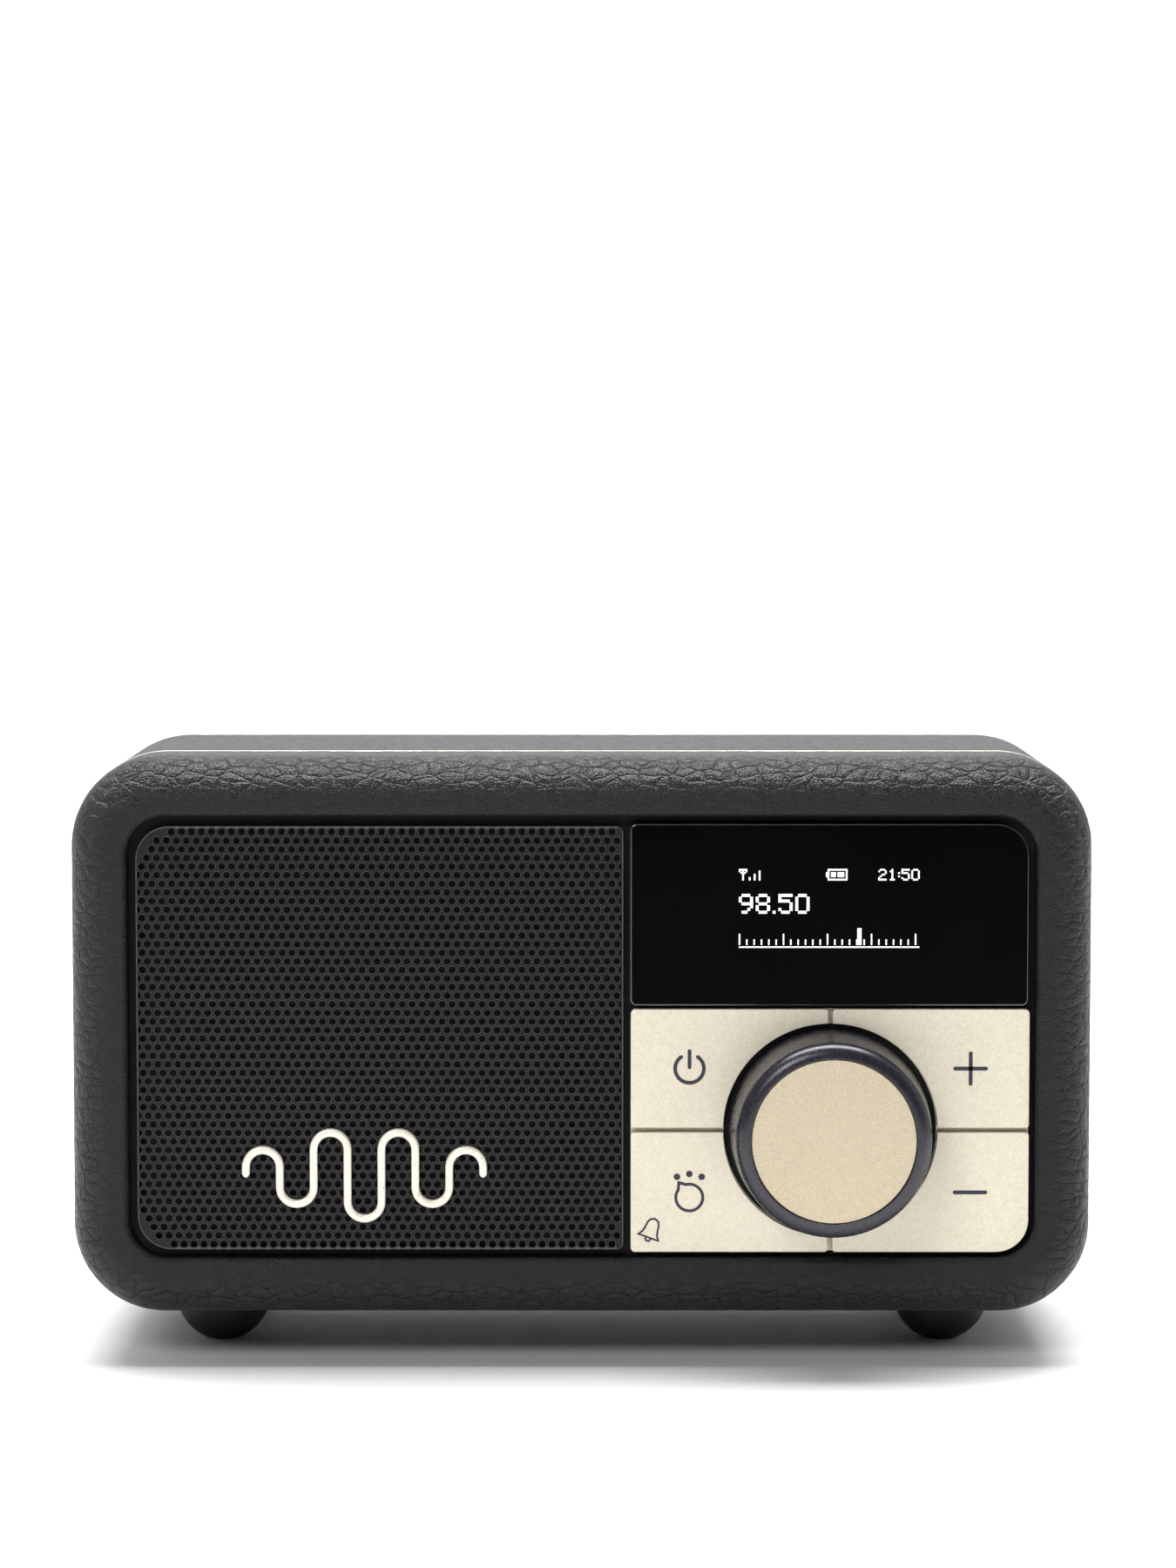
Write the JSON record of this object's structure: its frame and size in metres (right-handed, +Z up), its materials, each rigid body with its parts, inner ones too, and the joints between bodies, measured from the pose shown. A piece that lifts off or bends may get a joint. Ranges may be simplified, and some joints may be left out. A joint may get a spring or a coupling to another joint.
{
  "type": "portable radio",
  "caption": "Small portable radio with a leather-covered case, perforated speaker front, display, button tiles round a rotary knob, round feet and a telescopic aerial.",
  "frame": {"origin": "bottom centre of the whole object's box, between the feet on the surface it stands on", "axes": "+Z up, front with knob and grille faces -Y, +X to the right seen from the front"},
  "size_m": [0.157, 0.0786, 0.094],
  "materials": {
    "leather": "pebbled black synthetic leather",
    "shell": "moulded black",
    "piping": "cream",
    "grille": "satin black",
    "cloth": "black cloth",
    "emblem": "cream satin",
    "lens": "polished black",
    "tile": "satin champagne",
    "knob": "dark polished",
    "knob_disc": "champagne, radially brushed",
    "rubber": "matt",
    "board": "green lacquer",
    "steel": "zinc plated",
    "black_steel": "blackened",
    "switch": "black",
    "basket": "black",
    "cone": "coated paper",
    "ferrite": "ferrite and steel",
    "copper": "enamelled wire",
    "cell": "shrink sleeve",
    "tin": "tinned",
    "lead": "insulated wire",
    "aerial": "polished"
  },
  "bodies": {
    "root": {"front_leather": "leather", "rear_leather": "leather", "front_shell": "shell", "rear_shell": "shell", "piping": "piping", "rear_plate": "shell", "front_baffle": "shell", "speaker_grille": "grille", "dust_cloth": "cloth", "emblem": "emblem", "display_lens": "lens", "display_module": "board", "control_plate": "tile", "front_pcb": "board", "pcb_screws": "steel", "tact_switches": "switch", "encoder_housing": "tin", "encoder_nut": "steel", "speaker_gasket": "rubber", "speaker_frame": "basket", "speaker_surround": "rubber", "speaker_cone": "cone", "speaker_dust_cap": "cone", "voice_coil": "copper", "spider": "cloth", "speaker_magnet": "ferrite", "speaker_screws": "steel", "battery_holder": "switch", "battery_cells": "cell", "main_pcb": "board", "board_screws": "steel", "headphone_socket": "switch", "usb_socket": "tin", "speaker_lead": "lead", "battery_lead": "lead", "signal_lead": "lead", "aerial_lead": "lead", "aerial_mount": "black_steel", "aerial_rest": "shell", "feet": "rubber", "foot_screws": "steel", "case_screws": "black_steel"},
    "knob_press": {"encoder_carriage": "switch"},
    "knob": {"encoder_shaft": "steel", "knob_body": "knob", "knob_cap": "knob_disc"},
    "power_key": {"power_button": "tile"},
    "source_key": {"source_button": "tile"},
    "plus_key": {"plus_button": "tile"},
    "minus_key": {"minus_button": "tile"},
    "aerial_turret": {"aerial_base": "aerial", "aerial_nut": "steel", "aerial_pin": "aerial"},
    "mast": {"aerial_mast": "aerial"},
    "section_2": {"aerial_section_2": "aerial"},
    "section_3": {"aerial_section_3": "aerial"},
    "section_4": {"aerial_section_4": "aerial", "aerial_tip": "aerial"}
  },
  "joints": [
    {"name": "knob_push", "type": "slide", "parent": "root", "child": "knob_press", "axis": [0, 1, 0], "range_m": [0, 0.0005], "stiffness_N_per_m": 6000},
    {"name": "knob_turn", "type": "hinge", "parent": "knob_press", "child": "knob", "pos_m": [0.03815, -0.02815, 0.03665], "axis": [0, 1, 0], "continuous": true},
    {"name": "power_push", "type": "slide", "parent": "root", "child": "power_key", "axis": [0, 1, 0], "range_m": [0, 0.0005], "stiffness_N_per_m": 4000},
    {"name": "source_push", "type": "slide", "parent": "root", "child": "source_key", "axis": [0, 1, 0], "range_m": [0, 0.0005], "stiffness_N_per_m": 4000},
    {"name": "plus_push", "type": "slide", "parent": "root", "child": "plus_key", "axis": [0, 1, 0], "range_m": [0, 0.0005], "stiffness_N_per_m": 4000},
    {"name": "minus_push", "type": "slide", "parent": "root", "child": "minus_key", "axis": [0, 1, 0], "range_m": [0, 0.0005], "stiffness_N_per_m": 4000},
    {"name": "aerial_turn", "type": "hinge", "parent": "root", "child": "aerial_turret", "pos_m": [0.058, 0.03635, 0.074], "axis": [0, 1, 0], "range_deg": [0, 180]},
    {"name": "aerial_tilt", "type": "hinge", "parent": "aerial_turret", "child": "mast", "pos_m": [0.058, 0.03635, 0.074], "axis": [0, 0, -1], "range_deg": [0, 90]},
    {"name": "section_2_slide", "type": "slide", "parent": "mast", "child": "section_2", "axis": [-1, 0, 0], "range_m": [0, 0.085]},
    {"name": "section_3_slide", "type": "slide", "parent": "section_2", "child": "section_3", "axis": [-1, 0, 0], "range_m": [0, 0.085]},
    {"name": "section_4_slide", "type": "slide", "parent": "section_3", "child": "section_4", "axis": [-1, 0, 0], "range_m": [0, 0.085]}
  ]
}
